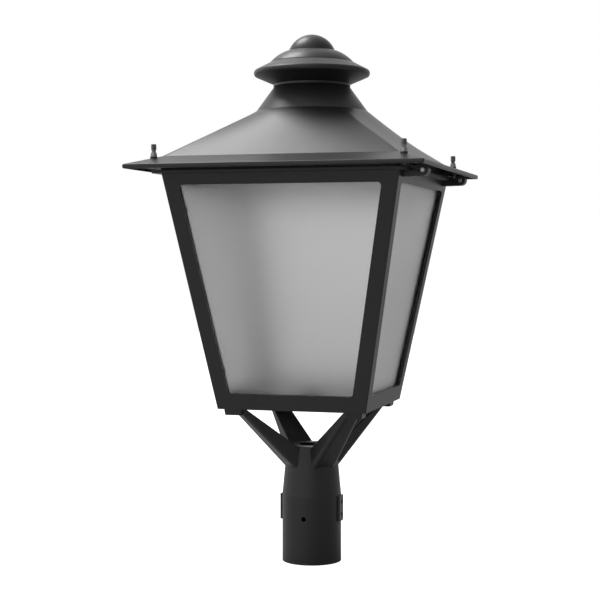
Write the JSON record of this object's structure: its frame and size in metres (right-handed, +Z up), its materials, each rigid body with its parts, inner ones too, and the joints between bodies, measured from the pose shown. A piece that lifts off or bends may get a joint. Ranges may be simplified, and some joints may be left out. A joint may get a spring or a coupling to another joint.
{
  "type": "post top lantern",
  "caption": "Square post top lantern that widens upwards, with frosted panes, a hinged roof with chimney and domed cap, and an open armed bracket that slips over a round post.",
  "frame": {"origin": "centre of the post socket's open foot", "axes": "+Z up along the post; the front pane faces -Y; the roof hinge is on the +X side and the latch on the -X side"},
  "size_m": [0.4266, 0.4266, 0.7828],
  "materials": {
    "cast_coat": "finely textured dark powder coat on cast aluminium",
    "frosted_glass": "frosted safety glass",
    "seal_rubber": "matt black",
    "zinc_steel": "zinc plated",
    "black_steel": "black oxidised steel",
    "stainless": "turned stainless steel",
    "sheet_aluminium": "mill finish sheet",
    "sink_aluminium": "extruded, satin",
    "tray_steel": "white gloss coat on sheet steel",
    "black_nylon": "matt black nylon",
    "opal_plastic": "opal diffusing plastic",
    "board_laminate": "white solder mask",
    "led_phosphor": "yellow phosphor",
    "driver_plastic": "light grey plastic case",
    "terminal_plastic": "ivory plastic"
  },
  "bodies": {
    "lantern": {"post_bracket": "cast_coat", "socket_set_screws": "black_steel", "bracket_bolts": "zinc_steel", "bracket_washers": "zinc_steel", "lantern_cage": "cast_coat", "front_pane": "frosted_glass", "right_pane": "frosted_glass", "back_pane": "frosted_glass", "left_pane": "frosted_glass", "glazing_seals": "seal_rubber", "corner_beads": "cast_coat", "bead_screws": "zinc_steel", "floor_plate": "sheet_aluminium", "floor_screws": "zinc_steel", "gland_body": "black_nylon", "gland_cap": "black_nylon", "gland_seal": "seal_rubber", "gland_locknut": "black_nylon", "roof_gasket": "seal_rubber", "hinge_brackets": "cast_coat", "hinge_bracket_screws": "black_steel", "hinge_pins": "stainless", "pin_clips": "stainless", "latch_bush": "black_nylon"},
    "roof": {"roof_shell": "cast_coat", "hinge_leaves": "cast_coat", "hinge_leaf_screws": "black_steel", "chimney_cone": "cast_coat", "chimney_screws": "black_steel", "cap_saucer": "cast_coat", "crown_cap": "cast_coat", "dome_finial": "cast_coat", "tie_rod": "zinc_steel", "tie_bridge": "zinc_steel", "tie_nut": "zinc_steel", "corner_studs": "zinc_steel", "stud_collars": "zinc_steel", "stud_nuts": "black_steel", "gear_tray": "tray_steel", "tray_screws": "zinc_steel", "heat_sink": "sink_aluminium", "led_board": "board_laminate", "led_chips": "led_phosphor", "board_screws": "zinc_steel", "diffuser": "opal_plastic", "diffuser_screws": "zinc_steel", "driver": "driver_plastic", "driver_screws": "zinc_steel", "terminal_block": "terminal_plastic", "terminal_screws": "zinc_steel", "latch_catch": "zinc_steel", "catch_screw": "zinc_steel"},
    "latch": {"latch_spindle": "stainless", "latch_spacer": "zinc_steel", "latch_tongue": "zinc_steel", "latch_nut": "zinc_steel"}
  },
  "joints": [
    {"name": "roof_hinge", "type": "hinge", "parent": "lantern", "child": "roof", "pos_m": [0.1985, 0, 0.5715], "axis": [0, 1, 0], "range_deg": [0, 100]},
    {"name": "latch_turn", "type": "hinge", "parent": "lantern", "child": "latch", "pos_m": [-0.184, 0, 0.575], "axis": [0, 0, -1], "range_deg": [0, 90]}
  ]
}
